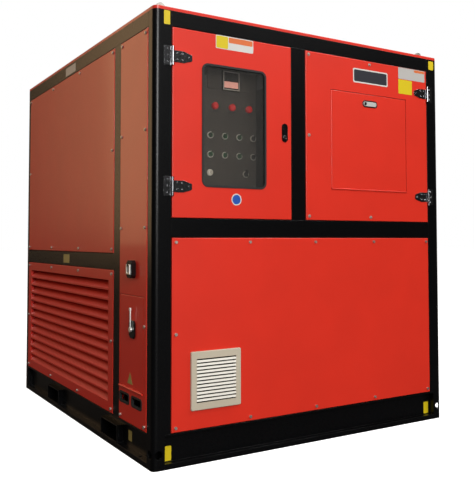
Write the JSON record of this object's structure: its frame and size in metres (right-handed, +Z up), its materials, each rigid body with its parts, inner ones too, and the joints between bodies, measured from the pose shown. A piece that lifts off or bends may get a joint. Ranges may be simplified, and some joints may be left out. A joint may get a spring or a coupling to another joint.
{
  "type": "generator load bank",
  "caption": "Red and black outdoor load bank cabinet on a fork-lift skid, with a windowed control door, hatched access door, louvred intakes, fans and roof exhaust.",
  "frame": {"origin": "on the floor, at the middle of the skid's underside", "axes": "+Z up; -Y is the front with the two hinged doors; -X is the side with the cable connection door"},
  "size_m": [1.7795, 2.043, 2.0399],
  "materials": {
    "red_paint": "gloss",
    "black_paint": "satin",
    "galvanised_sheet": "dull",
    "chrome_plate": "polished",
    "zinc_screw": "satin",
    "vent_plastic": "matte",
    "black_plastic": "gloss",
    "green_plastic": "gloss",
    "window_pane": "clear",
    "black_rubber": "matte",
    "grey_fascia": "satin",
    "red_lens": "gloss",
    "copper": "satin",
    "resistor_alloy": "heat-tinted",
    "fan_aluminium": "cast",
    "motor_cast": "painted",
    "contactor_plastic": "matte"
  },
  "bodies": {
    "cabinet": {"base_side_rails": "black_paint", "base_cross_rails": "black_paint", "fork_pocket_tubes": "black_paint", "floor_plate": "galvanised_sheet", "frame_posts": "black_paint", "frame_rails": "black_paint", "panel_stops": "black_paint", "roof_cap": "red_paint", "exhaust_grille": "black_paint", "lifting_eyes": "zinc_screw", "lower_front_panel": "red_paint", "vent_grille": "vent_plastic", "side_panels": "red_paint", "rear_panels": "red_paint", "louvre_panels": "red_paint", "louvre_blades": "red_paint", "bulkhead": "galvanised_sheet", "fan_deck": "galvanised_sheet", "fan_motors": "motor_cast", "resistor_trays": "galvanised_sheet", "resistor_elements": "resistor_alloy", "contactors": "contactor_plastic", "load_busbars": "copper", "service_panel": "red_paint", "cable_port_bushes": "black_rubber", "panel_screws": "zinc_screw", "control_tray": "black_paint", "control_fascia": "grey_fascia", "load_meter": "black_plastic", "pilot_lamps": "red_lens", "switch_bezels": "chrome_plate", "hinge_leaves": "chrome_plate", "service_latch_base": "black_plastic"},
    "control_door": {"control_door": "red_paint", "door_window": "window_pane", "window_seal": "black_rubber", "control_door_straps": "chrome_plate", "door_latch_cup": "black_plastic"},
    "door_latch": {"door_latch_paddle": "black_plastic"},
    "access_door": {"access_door": "red_paint", "access_door_straps": "chrome_plate"},
    "hatch": {"access_hatch": "red_paint", "hatch_latch_cup": "chrome_plate"},
    "hatch_latch": {"hatch_latch_paddle": "chrome_plate"},
    "connection_door": {"connection_door": "red_paint", "connection_latch_base": "black_plastic"},
    "connection_latch": {"connection_latch_lever": "chrome_plate"},
    "service_latch": {"service_latch_ring": "chrome_plate"},
    "mode_selector": {"mode_selector": "black_plastic"},
    "key_switch": {"key_switch": "chrome_plate"},
    "fan_left": {"fan_rotor_left": "fan_aluminium"},
    "fan_right": {"fan_rotor_right": "fan_aluminium"},
    "load_switch_1": {"load_switch_1": "green_plastic"},
    "load_switch_2": {"load_switch_2": "green_plastic"},
    "load_switch_3": {"load_switch_3": "green_plastic"},
    "load_switch_4": {"load_switch_4": "black_plastic"},
    "load_switch_5": {"load_switch_5": "green_plastic"},
    "load_switch_6": {"load_switch_6": "green_plastic"},
    "load_switch_7": {"load_switch_7": "green_plastic"},
    "load_switch_8": {"load_switch_8": "black_plastic"}
  },
  "joints": [
    {"name": "control_door_hinge", "type": "hinge", "parent": "cabinet", "child": "control_door", "pos_m": [-0.78425, -1.019, 1.4945], "axis": [0, 0, -1], "range_deg": [0, 120]},
    {"name": "door_latch_pivot", "type": "hinge", "parent": "control_door", "child": "door_latch", "pos_m": [-0.183, -1.0125, 1.52], "axis": [-1, 0, 0], "range_deg": [0, 45], "stiffness_Nm_per_rad": 0.15},
    {"name": "access_door_hinge", "type": "hinge", "parent": "cabinet", "child": "access_door", "pos_m": [0.78425, -1.019, 1.4945], "axis": [0, 0, 1], "range_deg": [0, 120]},
    {"name": "hatch_hinge", "type": "hinge", "parent": "access_door", "child": "hatch", "pos_m": [0.364, -1.0145, 1.235], "axis": [1, 0, 0], "range_deg": [0, 100]},
    {"name": "hatch_latch_pivot", "type": "hinge", "parent": "hatch", "child": "hatch_latch", "pos_m": [0.364, -1.0125, 1.694], "axis": [-1, 0, 0], "range_deg": [0, 45], "stiffness_Nm_per_rad": 0.15},
    {"name": "connection_door_hinge", "type": "hinge", "parent": "cabinet", "child": "connection_door", "pos_m": [-0.876, -0.7815, 0.307], "axis": [0, -1, 0], "range_deg": [0, 110]},
    {"name": "connection_latch_spindle", "type": "hinge", "parent": "connection_door", "child": "connection_latch", "pos_m": [-0.885, -0.8, 0.577], "axis": [1, 0, 0], "range_deg": [0, 90]},
    {"name": "service_latch_pivot", "type": "hinge", "parent": "cabinet", "child": "service_latch", "pos_m": [-0.897, -0.8, 0.8665], "axis": [0, 1, 0], "range_deg": [0, 100]},
    {"name": "load_switch_1_turn", "type": "hinge", "parent": "cabinet", "child": "load_switch_1", "pos_m": [-0.5415, -0.915, 1.4665], "axis": [0, 1, 0], "range_deg": [0, 60]},
    {"name": "load_switch_2_turn", "type": "hinge", "parent": "cabinet", "child": "load_switch_2", "pos_m": [-0.4625, -0.915, 1.4665], "axis": [0, 1, 0], "range_deg": [0, 60]},
    {"name": "load_switch_3_turn", "type": "hinge", "parent": "cabinet", "child": "load_switch_3", "pos_m": [-0.3835, -0.915, 1.4665], "axis": [0, 1, 0], "range_deg": [0, 60]},
    {"name": "load_switch_4_turn", "type": "hinge", "parent": "cabinet", "child": "load_switch_4", "pos_m": [-0.3045, -0.915, 1.4665], "axis": [0, 1, 0], "range_deg": [0, 60]},
    {"name": "load_switch_5_turn", "type": "hinge", "parent": "cabinet", "child": "load_switch_5", "pos_m": [-0.5415, -0.915, 1.3765], "axis": [0, 1, 0], "range_deg": [0, 60]},
    {"name": "load_switch_6_turn", "type": "hinge", "parent": "cabinet", "child": "load_switch_6", "pos_m": [-0.4625, -0.915, 1.3765], "axis": [0, 1, 0], "range_deg": [0, 60]},
    {"name": "load_switch_7_turn", "type": "hinge", "parent": "cabinet", "child": "load_switch_7", "pos_m": [-0.3835, -0.915, 1.3765], "axis": [0, 1, 0], "range_deg": [0, 60]},
    {"name": "load_switch_8_turn", "type": "hinge", "parent": "cabinet", "child": "load_switch_8", "pos_m": [-0.3045, -0.915, 1.3765], "axis": [0, 1, 0], "range_deg": [0, 60]},
    {"name": "mode_selector_turn", "type": "hinge", "parent": "cabinet", "child": "mode_selector", "pos_m": [-0.347, -0.915, 1.2915], "axis": [0, 1, 0], "range_deg": [-45, 45]},
    {"name": "key_switch_turn", "type": "hinge", "parent": "cabinet", "child": "key_switch", "pos_m": [-0.543, -0.915, 1.2915], "axis": [0, 1, 0], "range_deg": [0, 90]},
    {"name": "fan_left_spin", "type": "hinge", "parent": "cabinet", "child": "fan_left", "pos_m": [-0.405, 0.176, 0.782], "axis": [0, 0, 1], "continuous": true},
    {"name": "fan_right_spin", "type": "hinge", "parent": "cabinet", "child": "fan_right", "pos_m": [0.405, 0.176, 0.782], "axis": [0, 0, 1], "continuous": true}
  ]
}
